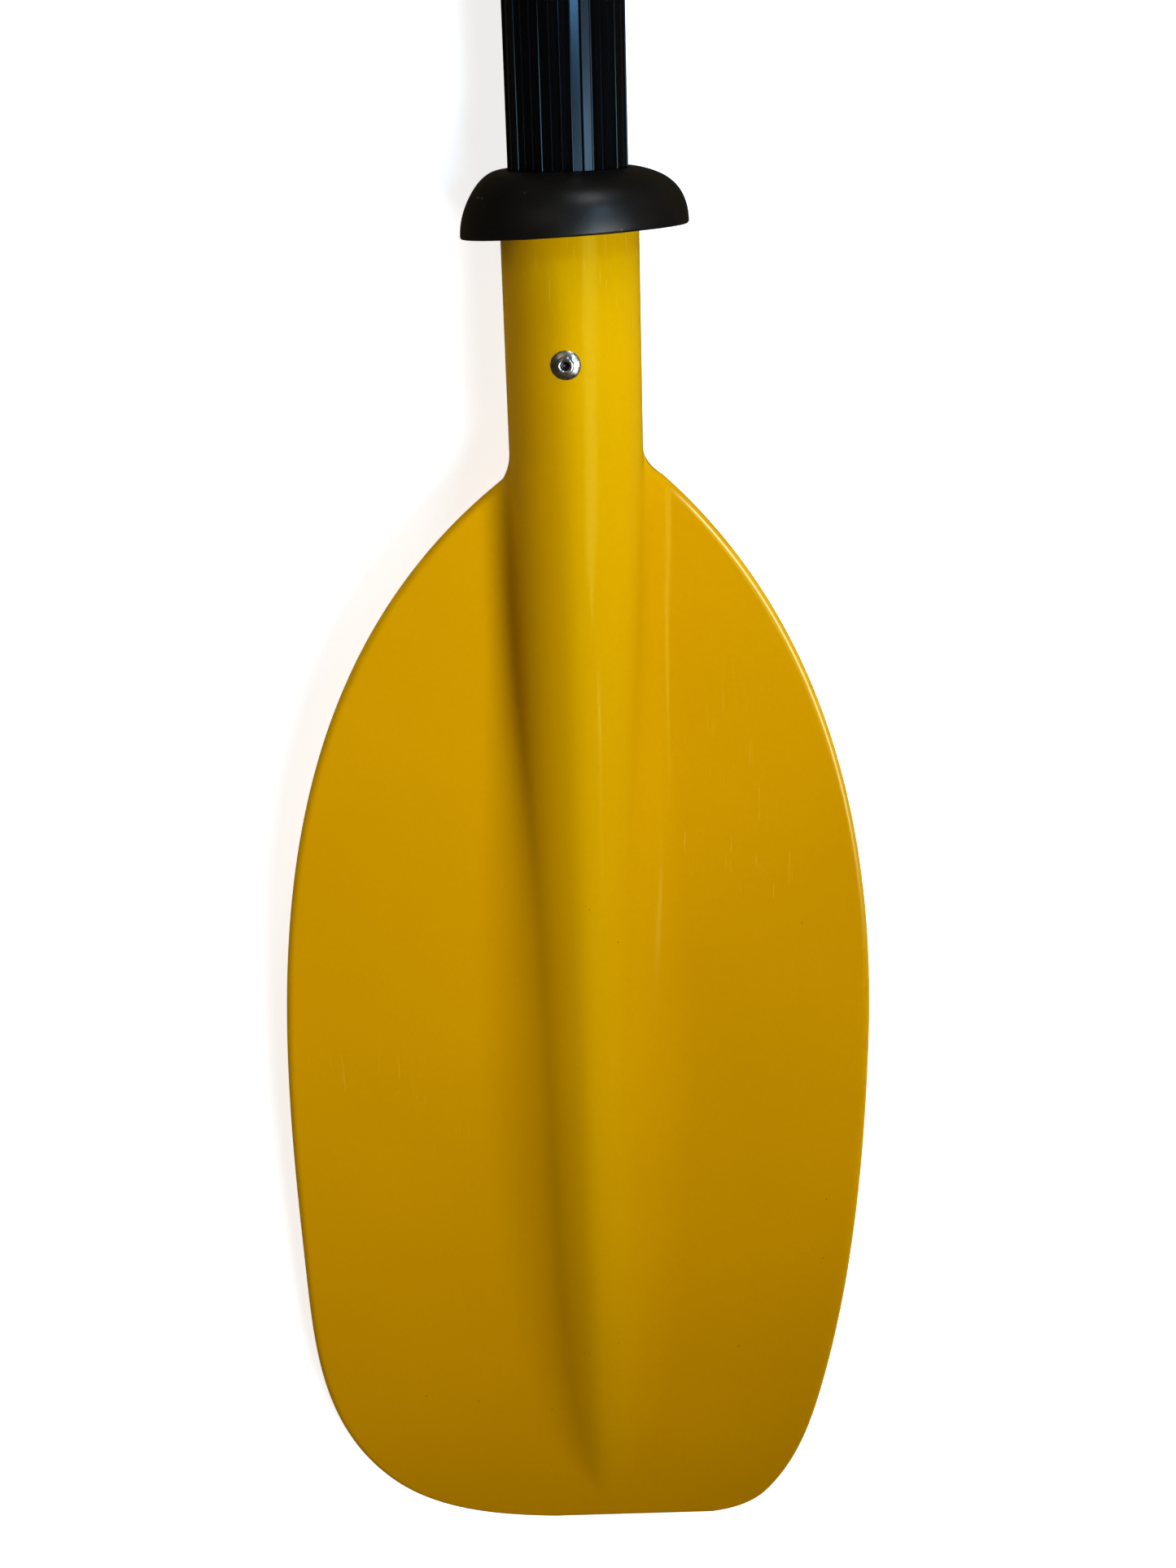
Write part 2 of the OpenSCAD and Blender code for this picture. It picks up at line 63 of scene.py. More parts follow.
# Driving sizes, in millimetres, as the solids have them
PADDLE_LENGTH = 2180.0
SHAFT_R = 15.0
RIB_H = 0.25
RIB_W = 0.6
RIB_COUNT = 36
RIB_TURN = {"left": 5.0, "right": 0.0}
SHAFT_WALL = 1.5
SEAL_T = 2.5
BLADE_L = 359.5
FULL_HALF_W = 92.3
SHORT_HALF_W = 81.6
SHEET_T = 4.0
SHEET_DROP = 4.0
SPOON = 23.0
EDGE_ROUND = 2.2
SPINE_L = 349.0
SPINE_KEEL_H = 11.4
SPINE_END_SOFT = 0.7
SPINE_SINK_L = 74.0
SPINE_FLATTEN = 8.0
SPINE_BOW = 2.5
FOOT_R = 9.0
FOOT_LOW_R = 37.0
FOOT_GROW = (30.0, 190.0)
BULGE_L = 105.0
SLEEVE_R = 17.45
SLEEVE_L = 72.0
SOCKET_R = 15.05
SOCKET_DEPTH = 80.0
SOCKET_END_GAP = 0.3
RIVET_FROM_MOUTH = 39.5
RIVET_TURN = 6.5
SLEEVE_SEAT = 0.4
SHAFT_SEAT = 0.15
RIVET_R = 2.0
RIVET_HEAD_R = 3.8
RIVET_HEAD_H = 1.5
COLLAR_R = 2.2
COLLAR_H = 0.45
BULB_R = 3.2
BULB_L = 3.0
MANDREL_R = 1.1
MANDREL_HEAD_R = 1.75
MANDREL_HEAD_L = 1.2
MANDREL_SUNK = 0.9
RING_R = 28.7
RING_H = 15.2
RING_WALL = 2.2
RING_LIP = 1.2
RING_TOP_R = 15.6
RING_BORE_R = 15.1
RING_HUB_WALL = 2.6
RING_LAP = 8.9
RING_GAP = 0.3
FERRULE_WALL = 1.5
FERRULE_CLEAR = 0.05
FERRULE_L = 160.0
FERRULE_RIVET_X = 40.0
BUTTON_X = 35.0
BUTTON_R = 4.0
BUTTON_HOLE_R = 4.15
BUTTON_PROUD = 3.0
BUTTON_DOME_H = 1.6
STRIP_T = 0.8
STRIP_LEG = 38.0
STRIP_FLAT = 6.0
STRIP_BEND_R = 2.5
FEATHER_STEP = 60.0
PLUG_L = 25.0
PLUG_GAP = 10.0

NECK_X = PADDLE_LENGTH / 2 - BLADE_L
MOUTH_X = NECK_X - SLEEVE_L
RIM_X = MOUTH_X + RING_LAP
SHAFT_END_X = MOUTH_X + SOCKET_DEPTH - SOCKET_END_GAP
TUBE_R = SHAFT_R - RIB_H
TUBE_BORE_R = TUBE_R - SHAFT_WALL
FERRULE_R = TUBE_BORE_R - FERRULE_CLEAR
FERRULE_BORE_R = FERRULE_R - FERRULE_WALL

# Metres within which points are joined: those of a lathe on its axis, and those left by a cut
WELD_GAP = 1e-7
CUT_GAP = 2e-6


# Meshes

def add_mesh(name, points, faces, material, body, slot, *nodes, smooth=True):
    """One piece from points in millimetres that stands for CAD nodes and rides on a body, if one is given."""
    mesh = bpy.data.meshes.new(name)
    mesh.from_pydata((np.asarray(points, float) * MM).tolist(), [], faces)
    mesh.validate()
    mesh.polygons.foreach_set("use_smooth", [smooth] * len(mesh.polygons))
    mesh.materials.append(material)
    piece = bpy.data.objects.new(name, mesh)
    bpy.context.scene.collection.objects.link(piece)
    if body:
        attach(piece, body)
    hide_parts(*nodes)
    return piece


def weld(piece):
    """Joins points that lie on each other and turns the faces outward."""
    form = bmesh.new()
    form.from_mesh(piece.data)
    bmesh.ops.remove_doubles(form, verts=form.verts, dist=WELD_GAP)
    bmesh.ops.recalc_face_normals(form, faces=form.faces)
    form.to_mesh(piece.data)
    form.free()


def sharpen(piece, angle):
    """Marks the edges that turn by more than an angle as sharp, and leaves the rest smooth."""
    piece.data.set_sharp_from_angle(angle=math.radians(angle))


def grid_faces(rows, columns, first=0):
    """Quads of a grid of points stored row by row, whose last column joins its first."""
    i, j = np.meshgrid(np.arange(rows - 1), np.arange(columns), indexing="ij")
    k = (j + 1) % columns
    corners = [i * columns + j, i * columns + k, (i + 1) * columns + k, (i + 1) * columns + j]
    return (np.stack(corners, -1).reshape(-1, 4) + first).tolist()


def lathe(profile, steps=96):
    """A closed profile of (distance along the axis, radius) turned about X: points and faces."""
    profile = np.asarray(list(profile) + list(profile[:1]), float)
    turn = np.linspace(0, 2 * math.pi, steps, endpoint=False)
    x = np.repeat(profile[:, :1], steps, 1)
    r = profile[:, 1:]
    points = np.stack([x, r * np.cos(turn), r * np.sin(turn)], -1)
    return points.reshape(-1, 3), grid_faces(len(profile), steps)


def arc(centre, radii, start, end, steps=8):
    """Points of an arc of an ellipse, its angles in degrees."""
    a = np.radians(np.linspace(start, end, steps))
    return [(centre[0] + radii[0] * math.cos(t), centre[1] + radii[1] * math.sin(t)) for t in a]


def facing(points, side):
    """Moves points drawn for the right half to a side: the left half is its mirror image."""
    points = np.array(points, float)
    if side == "left":
        points[:, 0] = -points[:, 0]
    return points


def facing_faces(faces, side):
    """Turns faces round where their points are mirrored, so that they stay outward."""
    return [list(reversed(f)) for f in faces] if side == "left" else faces


def standing(points, x, turn):
    """Points drawn along X stood up across the shaft at x, turned from +Z towards +Y."""
    a = math.radians(turn)
    out = np.array([0, math.sin(a), math.cos(a)])
    across = np.array([0, math.cos(a), -math.sin(a)])
    points = np.asarray(points, float)
    along = np.array([1.0, 0, 0])
    return np.array([x, 0, 0]) + points[:, :1] * out + points[:, 1:2] * across + points[:, 2:] * along


# Blade form

FULL_SIDE = [(0.0, SLEEVE_R + 2.1, 53.0), (254.2, FULL_HALF_W, 0.0),
             (BLADE_L - 19.8, 71.7, -42.0), (BLADE_L, 6.0, -90.0)]
SHORT_SIDE = [(0.0, SLEEVE_R + 5.2, 47.0), (172.9, SHORT_HALF_W, 0.0),
              (BLADE_L - 55.4, 71.0, -11.0), (BLADE_L - 9.7, 54.0, -37.0),
              (BLADE_L, 31.3, -90.0)]
FLARE_L = 9.0
FLARE_POWER = 2.6
SPINE_START = SOCKET_DEPTH - SLEEVE_L + 2.0
NECK_BLEND_END = 3.0
NECK_DROP_L = 1.5
MOUTH_ROUND = 0.8
BLADE_COLUMNS = 241
TIP_SHARE = 0.08


def side_curve(side, steps=400):
    """Points along one side's outline: a chain of cubics whose handles follow circular arcs."""
    points = []
    for a, b in zip(side, side[1:]):
        turn = math.radians(abs(b[2] - a[2]))
        chord = math.hypot(b[0] - a[0], b[1] - a[1])
        h = chord * 2 / 3 * math.tan(turn / 4) / math.sin(turn / 2)
        p, q = np.array(a[:2]), np.array(b[:2])
        u = np.array([math.cos(math.radians(a[2])), math.sin(math.radians(a[2]))])
        v = np.array([math.cos(math.radians(b[2])), math.sin(math.radians(b[2]))])
        s = np.linspace(0, 1, steps)[:, None]
        points.append((1 - s) ** 3 * p + 3 * s * (1 - s) ** 2 * (p + h * u)
                      + 3 * s * s * (1 - s) * (q - h * v) + s ** 3 * q)
    return np.concatenate(points)


def half_width(side, t):
    """Half width of one side at distances t from the neck, sleeve and flare included."""
    curve = side_curve(side)
    width = np.interp(t, curve[:, 0], curve[:, 1])
    flare = SLEEVE_R + (side[0][1] - SLEEVE_R) * np.clip(1 + t / FLARE_L, 0, 1) ** FLARE_POWER
    return np.where(t < 0, flare, width)


def sheet_mid(t):
    """Height of the sheet's middle, spooned towards the power face."""
    return -SHEET_DROP - SPOON * (np.maximum(t, 0) / BLADE_L) ** 2


def smooth_step(t, low, high):
    """Rises from 0 at low to 1 at high, level at both ends."""
    s = np.clip((t - low) / (high - low), 0, 1)
    return s * s * (3 - 2 * s)


def round_back(c, h, r, foot_r):
    """Section of a ridge of height h: a round back of radius r that ends in a hollow foot on the sheet."""
    turn = np.arccos(np.clip(1 - h / (r + foot_r), 0, 1))
    side = r * np.sin(turn)
    foot = side + foot_r * np.sin(turn)
    c = np.abs(c)
    back = h - r + np.sqrt(np.maximum(r * r - c * c, 0))
    hollow = foot_r - np.sqrt(np.maximum(foot_r ** 2 - np.clip(foot - c, 0, foot_r) ** 2, 0))
    return np.where(c < side, back, hollow)


def spine_rise(t, c):
    """Height of the spine above the back face: the round neck sinks to a keel that ends near the tip."""
    s = np.clip(t / SPINE_L, 0, 1)
    keel = SPINE_KEEL_H * (1 - s ** 4)
    keel = keel * keel / (keel + SPINE_END_SOFT)
    keel_start = SPINE_KEEL_H ** 2 / (SPINE_KEEL_H + SPINE_END_SOFT)
    sunk = np.exp(-(np.maximum(t - SPINE_START, 0) / SPINE_SINK_L) ** 2)
    h = keel + (SLEEVE_R + SHEET_DROP - SHEET_T / 2 - keel_start) * sunk
    foot_r = FOOT_R + (FOOT_LOW_R - FOOT_R) * smooth_step(t, *FOOT_GROW)
    return round_back(c - SPINE_BOW * np.sin(math.pi * s), h, SLEEVE_R + SPINE_FLATTEN * s * s, foot_r)


def bulge_rise(t, c):
    """Height of the socket bulge above the sheet on the power face."""
    h = (SLEEVE_R - SHEET_DROP - SHEET_T / 2) * (1 - smooth_step(t, SPINE_START, BULGE_L))
    return round_back(c, h, SLEEVE_R, FOOT_R)


def edge_distance(t, c, full_w, short_w):
    """Distance from places on the blade to its outline."""
    width = np.where(c > 0, full_w, short_w)
    slope = np.gradient(width, axis=0) / np.maximum(np.gradient(t, axis=0), 1e-6)
    to_side = (width - np.abs(c)) / np.sqrt(1 + slope ** 2)
    return np.minimum(to_side, BLADE_L - t)


def blade_surface(t, c, full_w, short_w):
    """Heights of the back face and the power face at distances t and places c across."""
    sleeve = 1 - smooth_step(t, -FLARE_L, NECK_BLEND_END)
    round_z = np.sqrt(np.maximum(SLEEVE_R ** 2 - c * c, 0))
    s = np.clip(edge_distance(t, c, full_w, short_w) / EDGE_ROUND, 0, 1)
    half_t = SHEET_T / 2 * np.sqrt(1 - (1 - s) ** 2)
    mid = sheet_mid(t) * smooth_step(t, -FLARE_L, -FLARE_L + NECK_DROP_L)
    on_edge = np.abs(c) > np.where(c > 0, full_w, short_w) * (1 - 1e-6)
    faces = []
    for way, rise in ((1, spine_rise(t, c)), (-1, bulge_rise(t, c))):
        sheet = way * mid + half_t
        joined = np.maximum(round_z, sheet)
        height = (sheet + rise) * (1 - sleeve) + joined * sleeve
        faces.append(np.where(on_edge, mid, way * height))
    return faces


def blade_rows():
    """Distances of the skin's rows from the neck, closer together at the mouth, the neck and the tip."""
    mouth_lip = SLEEVE_L - MOUTH_ROUND * (1 - np.cos(np.linspace(0, math.pi / 2, 6)))
    tip_start = 1 - TIP_SHARE
    rows = np.concatenate([
        -mouth_lip[:-1],
        np.linspace(-SLEEVE_L + 1.0, -FLARE_L - 2, 24),
        np.linspace(-FLARE_L - 1, 24, 56),
        np.linspace(25, tip_start * BLADE_L, 150),
        BLADE_L * (tip_start + TIP_SHARE * np.sin(np.linspace(0, math.pi / 2, 44)))[1:]])
    return np.unique(np.round(rows, 4))


def blade_wear_and_painted_light(along, across, inside):
    """Masks from 0 to 1 for the material: the rim, for painted light and real scuffs; a thin painted
    highlight line; a painted sheen on the lit side of spine and sleeve; painted shade on their other side and
    a painted shadow below the drip ring.
    """
    # Near the rim: the paler rim is painted light on the rounded edge; the dark scuffs there are real.
    rim = np.exp(-inside / 2.5) * (along > 20)
    # A thin pale line about a millimetre inside the upper right edge: a painted highlight.
    highlight_stretch = smooth_step(along, 2, 12) * (1 - smooth_step(along, 60, 150)) * (across < 0)
    wear_and_edge_highlight = np.exp(-((inside - 1.1) / 0.25) ** 2) * highlight_stretch
    raised = spine_rise(along, across) / (SPINE_END_SOFT + spine_rise(along, 0 * across))
    raised = np.maximum(np.clip(raised, 0, 1), 1 - smooth_step(along, -FLARE_L, NECK_BLEND_END))
    # Yellower on the lit side of spine and sleeve: a painted sheen.
    painted_sheen = raised * smooth_step(-across, -13, 1)
    # Darker on the shaded side of spine and sleeve: painted shade.
    painted_shade = raised * smooth_step(across, -1, 6) * (1 - smooth_step(across, 12, 17))
    # Darker just below the drip ring: a painted shadow of the ring.
    ring_shadow = 1 - smooth_step(along, -SLEEVE_L + RING_LAP, -SLEEVE_L + 26)
    return {"rim": rim, "wear_and_edge_highlight": wear_and_edge_highlight, "painted_sheen": painted_sheen, "painted_shade": np.maximum(painted_shade, ring_shadow)}


def grid_quads(grid, flip):
    """Quads of an open grid of point numbers."""
    quads = np.stack([grid[:-1, :-1], grid[1:, :-1], grid[1:, 1:], grid[:-1, 1:]], -1).reshape(-1, 4)
    return (quads[:, ::-1] if flip else quads).tolist()


def blade_mesh():
    """Closed skin of one blade with its socket, and its masks of wear and painted light: along +X from the
    neck, full side to +Y.
    """
    t = blade_rows()
    columns = BLADE_COLUMNS
    place = np.sin(np.linspace(-math.pi / 2, math.pi / 2, columns))
    full_w, short_w = half_width(FULL_SIDE, t), half_width(SHORT_SIDE, t)
    across = np.where(place > 0, full_w[:, None], short_w[:, None]) * place
    along = np.repeat(t[:, None], columns, 1)
    full_w, short_w = full_w[:, None] + 0 * across, short_w[:, None] + 0 * across
    top, bottom = blade_surface(along, across, full_w, short_w)
    rows = len(t)
    upper = np.stack([along, across, top], -1)
    lower = np.stack([along, across, bottom], -1)
    from_lip = np.clip(MOUTH_ROUND - (t + SLEEVE_L), 0, MOUTH_ROUND)
    lip = MOUTH_ROUND - np.sqrt(np.maximum(MOUTH_ROUND ** 2 - from_lip ** 2, 0))
    shrink = (1 - lip / SLEEVE_R)[:, None, None]
    upper[..., 1:] *= shrink
    lower[..., 1:] *= shrink
    index = np.arange(rows * columns).reshape(rows, columns)
    under = index.copy()
    under[:-1, 1:-1] = rows * columns + np.arange((rows - 1) * (columns - 2)).reshape(rows - 1, columns - 2)
    points = np.concatenate([upper.reshape(-1, 3), lower[:-1, 1:-1].reshape(-1, 3)])
    wear_and_painted_light = blade_wear_and_painted_light(along, across, edge_distance(along, across, full_w, short_w))
    faces = grid_quads(index, False) + grid_quads(under, True)
    mouth = np.concatenate([index[0], under[0][-2:0:-1]])
    count = len(mouth)
    ring = points[mouth]
    scale = SOCKET_R / np.linalg.norm(ring[:, 1:], axis=1)[:, None]
    bore = []
    for x in (-SLEEVE_L, -SLEEVE_L + SOCKET_DEPTH):
        bore.append(np.column_stack([np.full(count, x), ring[:, 1:] * scale]))
    first = len(points)
    points = np.concatenate([points, *bore])
    for name, grid in wear_and_painted_light.items():
        wear_and_painted_light[name] = np.concatenate([grid.ravel(), grid[:-1, 1:-1].ravel(), np.zeros(2 * count)])
    rings = [mouth, np.arange(first, first + count), np.arange(first + count, first + 2 * count)]
    for a, b in zip(rings, rings[1:]):
        faces += [[a[k], a[(k + 1) % count], b[(k + 1) % count], b[k]] for k in range(count)]
    faces.append(rings[2].tolist())
    return points, faces, wear_and_painted_light


def make_blade(side, material):
    """One blade, with its masks of wear and painted light kept on its points for the material."""
    points, faces, wear_and_painted_light = blade_mesh()
    points[:, 0] += NECK_X
    piece = add_mesh(f"blade_skin_{side}", facing(points, side), facing_faces(faces, side), material,
                     f"{side}_half", "blade_plastic", f"blade_{side}")
    for name, values in wear_and_painted_light.items():
        piece.data.attributes.new(name, "FLOAT", "POINT").data.foreach_set("value", values)


# Tubes
HOLE_STEPS = 48
DRILL_FROM = 5.0
DRILL_TO = 30.0
JOINT_RING_GAP = 6.0
RIVET_RING_GAP = 4.0
HEAD_CLEAR = 0.15


def rib_section(turn):
    """Outline of the tube: flat bands with a rounded rib between each two."""
    section = []
    for i in range(RIB_COUNT):
        a = math.radians(360 * i / RIB_COUNT + turn)
        for aside, up in arc((0, 0), (RIB_W / 2, RIB_H), 180, 0, 7):
            r = TUBE_R + up
            section.append((r * math.cos(a) - aside * math.sin(a),
                            r * math.sin(a) + aside * math.cos(a)))
    return np.array(section)


def tube_mesh(turn, stops):
    """Closed ribbed tube of the right half, from the seal to its end, with rings of points at stops."""
    outer = rib_section(turn)
    inner = outer * (TUBE_BORE_R / np.linalg.norm(outer, axis=1))[:, None]
    count = len(outer)
    places = [SEAL_T / 2, *stops, SHAFT_END_X]
    rings = [np.column_stack([np.full(count, x), outer]) for x in places]
    rings += [np.column_stack([np.full(count, x), inner]) for x in reversed(places)]
    points = np.concatenate(rings + rings[:1])
    return points, grid_faces(len(rings) + 1, count)


def cut(piece, tools, operation="DIFFERENCE"):
    """Takes closed meshes, as points in millimetres and faces, out of a piece, or joins them to it."""
    for points, faces in tools:
        mesh = bpy.data.meshes.new("cutter")
        mesh.from_pydata((points * MM).tolist(), [], faces)
        cutter = bpy.data.objects.new("cutter", mesh)
        bpy.context.scene.collection.objects.link(cutter)
        weld(cutter)
        hole = piece.modifiers.new("hole", "BOOLEAN")
        hole.object = cutter
        hole.solver = "EXACT"
        hole.operation = operation
        graph = bpy.context.evaluated_depsgraph_get()
        done = bpy.data.meshes.new_from_object(piece.evaluated_get(graph))
        piece.modifiers.remove(hole)
        old = piece.data
        piece.data = done
        bpy.data.meshes.remove(old)
        bpy.data.objects.remove(cutter)
    form = bmesh.new()
    form.from_mesh(piece.data)
    bmesh.ops.remove_doubles(form, verts=form.verts, dist=CUT_GAP)
    bmesh.ops.dissolve_degenerate(form, dist=CUT_GAP, edges=form.edges)
    bmesh.ops.triangulate(form, faces=[face for face in form.faces if len(face.verts) > 4])
    form.to_mesh(piece.data)
    form.free()


def drill(x, turn, radius, low=DRILL_FROM):
    """A round cutter across the shaft at x, from a height outward."""
    points, faces = lathe([(low, 0), (low, radius), (DRILL_TO, radius), (DRILL_TO, 0)], HOLE_STEPS)
    return standing(points, x, turn), faces


def make_shaft(side, material):
    """One tube with its holes: for the blade's rivet, and for the lock or the ferrule's rivets."""
    joint_x = BUTTON_X if side == "right" else FERRULE_RIVET_X
    rivet_x = MOUTH_X + RIVET_FROM_MOUTH
    stops = (joint_x - JOINT_RING_GAP, joint_x + JOINT_RING_GAP,
             rivet_x - RIVET_RING_GAP, rivet_x + RIVET_RING_GAP)
    points, faces = tube_mesh(RIB_TURN[side], stops)
    piece = add_mesh(f"ribbed_tube_{side}", facing(points, side), facing_faces(faces, side), material,
                     f"{side}_half", "black_tube", f"shaft_{side}", smooth=False)
    weld(piece)
    way = -1 if side == "left" else 1
    tools = [drill(way * rivet_x, RIVET_TURN, RIVET_R)]
    if side == "right":
        for turn in (-FEATHER_STEP, 0, FEATHER_STEP):
            tools.append(drill(BUTTON_X, turn, BUTTON_HOLE_R))
    else:
        for turn in (90, -90):
            tools.append(drill(-FERRULE_RIVET_X, turn, RIVET_R))
            tools.append(drill(-FERRULE_RIVET_X, turn, RIVET_HEAD_R + HEAD_CLEAR, TUBE_R - SHAFT_SEAT))
    cut(piece, tools)


# Drip rings: soft rubber, so the skirt leans and tips, is pushed to one side and sags at one place
RING_LEAN = {"left": -math.tan(math.radians(2.5)), "right": math.tan(math.radians(1.5))}
RING_TIP = {"left": math.tan(math.radians(2.6)), "right": -math.tan(math.radians(1.0))}
RING_PUSH = {"left": -1.2, "right": 0.6}
RING_SAG = {"left": -1.6, "right": 0.8}


def ring_profile():
    """Section of the right drip ring: bell outside and inside, thin rounded lip, hub on the tube."""
    top_x = RIM_X - RING_H
    hub_x = RIM_X - RING_LAP - RING_GAP
    hub_r = RING_BORE_R + RING_HUB_WALL
    lip_r = RING_LIP / 2
    outer = [(RIM_X - lip_r - (RING_H - lip_r) * math.cos(u),
              RING_TOP_R + (RING_R - RING_TOP_R) * math.sin(u))
             for u in np.radians(np.linspace(0, 90, 40))]
    inside_r = RING_R - RING_LIP
    inside_h = RING_H - RING_WALL - lip_r
    meet = math.asin((hub_r + 0.4 - RING_TOP_R) / (inside_r - RING_TOP_R))
    inner = [(RIM_X - lip_r - inside_h * math.cos(u),
              RING_TOP_R + (inside_r - RING_TOP_R) * math.sin(u))
             for u in np.linspace(math.pi / 2, meet, 32)]
    lip = arc((RIM_X - lip_r, RING_R - lip_r), (lip_r, lip_r), 80, -80, 7)
    hub = [(hub_x - 0.3, hub_r), (hub_x, hub_r - 0.3), (hub_x, RING_BORE_R)]
    bore = [(top_x + 0.5, RING_BORE_R), (top_x + 0.1, RING_BORE_R + 0.15)]
    return outer + lip + inner + hub + bore


def make_ring(side, material):
    """One drip ring, its skirt pushed out of true."""
    points, faces = lathe(ring_profile(), 160)
    points = facing(points, side)
    r = np.linalg.norm(points[:, 1:], axis=1)
    skirt = smooth_step(r, RING_BORE_R + RING_HUB_WALL, RING_R)
    sag = smooth_step(-points[:, 1], 4, 16) * smooth_step(-points[:, 2], 0, 20)
    lean = RING_LEAN[side] * points[:, 1] + RING_TIP[side] * points[:, 2]
    points[:, 0] += skirt * (lean + RING_SAG[side] * sag)
    points[:, 1] += RING_PUSH[side] * skirt
    piece = add_mesh(f"drip_bell_{side}", points, faces, material, f"ring_{side}", "drip_rubber",
                     f"drip_ring_{side}")
    weld(piece)
    sharpen(piece, 50)


# Rivets

def rivet_profile(seat, bore):
    """Section of a set blind rivet: domed head with a collar, shank, and bulb inside the tube."""
    top = seat + RIVET_HEAD_H
    bulb = math.sqrt(bore ** 2 - BULB_R ** 2)
    edge = 0.3
    dome_h = RIVET_HEAD_H - edge
    dome_r = (RIVET_HEAD_R ** 2 + dome_h ** 2) / (2 * dome_h)
    half = math.degrees(math.asin(RIVET_HEAD_R / dome_r))
    from_collar = math.degrees(math.asin((COLLAR_R + 0.1) / dome_r))
    collar_w = (COLLAR_R - MANDREL_R) / 2
    collar_round = 0.35
    profile = arc((top + COLLAR_H - collar_round, MANDREL_R + collar_w),
                  (collar_round, collar_w), -90, 90, 12)
    profile += arc((top - dome_r, 0), (dome_r, dome_r), from_collar, half - 2, 14)
    profile += arc((seat + edge / 2, RIVET_HEAD_R - edge / 2), (edge / 2, edge / 2), 30, 180, 7)
    profile += [(seat, RIVET_R), (bulb, RIVET_R)]
    profile += arc((bulb - BULB_L / 2, RIVET_R), (BULB_L / 2, BULB_R - RIVET_R), 0, 180, 16)
    profile += [(bulb - BULB_L, MANDREL_R)]
    return profile


def mandrel_profile(seat, bore):
    """Section of the mandrel left in a rivet: broken neck below the collar, head under the bulb."""
    broken = seat + RIVET_HEAD_H - MANDREL_SUNK
    under = math.sqrt(bore ** 2 - BULB_R ** 2) - BULB_L
    return [(broken + 0.1, 0), (broken + 0.25, 0.45), (broken - 0.05, 0.8), (broken, MANDREL_R - 0.1),
            (broken - 0.3, MANDREL_R - 0.01), (under, MANDREL_R - 0.01), (under, MANDREL_HEAD_R - 0.2),
            (under - 0.2, MANDREL_HEAD_R), (under - MANDREL_HEAD_L + 0.3, MANDREL_HEAD_R),
            (under - MANDREL_HEAD_L, MANDREL_HEAD_R - 0.3), (under - MANDREL_HEAD_L, 0)]


def make_riveted(name, profile, spots, material, slot, body, node):
    """One piece of turned parts that stand across the shaft at the given places and turns."""
    points, faces = lathe(profile, 72)
    all_points, all_faces = [], []
    for k, (x, turn) in enumerate(spots):
        all_points.append(standing(points, x, turn))
        all_faces += (np.asarray(faces) + k * len(points)).tolist()
    piece = add_mesh(name, np.concatenate(all_points), all_faces, material, body, slot, node)
    weld(piece)
    sharpen(piece, 40)


def make_rivets(alloy, steel):
    """The rivets and mandrels of the blades and of the ferrule."""
    sleeve_seat = SLEEVE_R - SLEEVE_SEAT
    shaft_seat = TUBE_R - SHAFT_SEAT
    for side, way in (("left", -1), ("right", 1)):
        spot = [(way * (MOUTH_X + RIVET_FROM_MOUTH), RIVET_TURN)]
        body = f"{side}_half"
        make_riveted(f"rivet_{side}", rivet_profile(sleeve_seat, TUBE_BORE_R), spot, alloy,
                     "rivet_alloy", body, f"blade_rivet_{side}")
        make_riveted(f"rivet_core_{side}", mandrel_profile(sleeve_seat, TUBE_BORE_R), spot, steel,
                     "mandrel_steel", body, f"rivet_mandrel_{side}")
    spots = [(-FERRULE_RIVET_X, 90), (-FERRULE_RIVET_X, -90)]
    make_riveted("joint_rivets", rivet_profile(shaft_seat, FERRULE_BORE_R), spots, alloy, "rivet_alloy",
                 "left_half", "ferrule_rivets")
    make_riveted("joint_rivet_cores", mandrel_profile(shaft_seat, FERRULE_BORE_R), spots, steel,
                 "mandrel_steel", "left_half", "ferrule_mandrels")


# Joint and floats

def make_seal(material):
    """Rubber ring with a crowned outside and rounded edges."""
    half, inside = SEAL_T / 2, FERRULE_R + FERRULE_CLEAR
    crown_h, ease = 0.5, 0.2
    crown = arc((0, TUBE_R - crown_h), (half, crown_h), 180, 0, 14)
    points, faces = lathe([(-half, inside + ease), *crown, (half, inside + ease),
                           (half - ease, inside), (-half + ease, inside)], 128)
    piece = add_mesh("joint_seal", points, faces, material, "seal", "drip_rubber", "seal_ring")
    weld(piece)


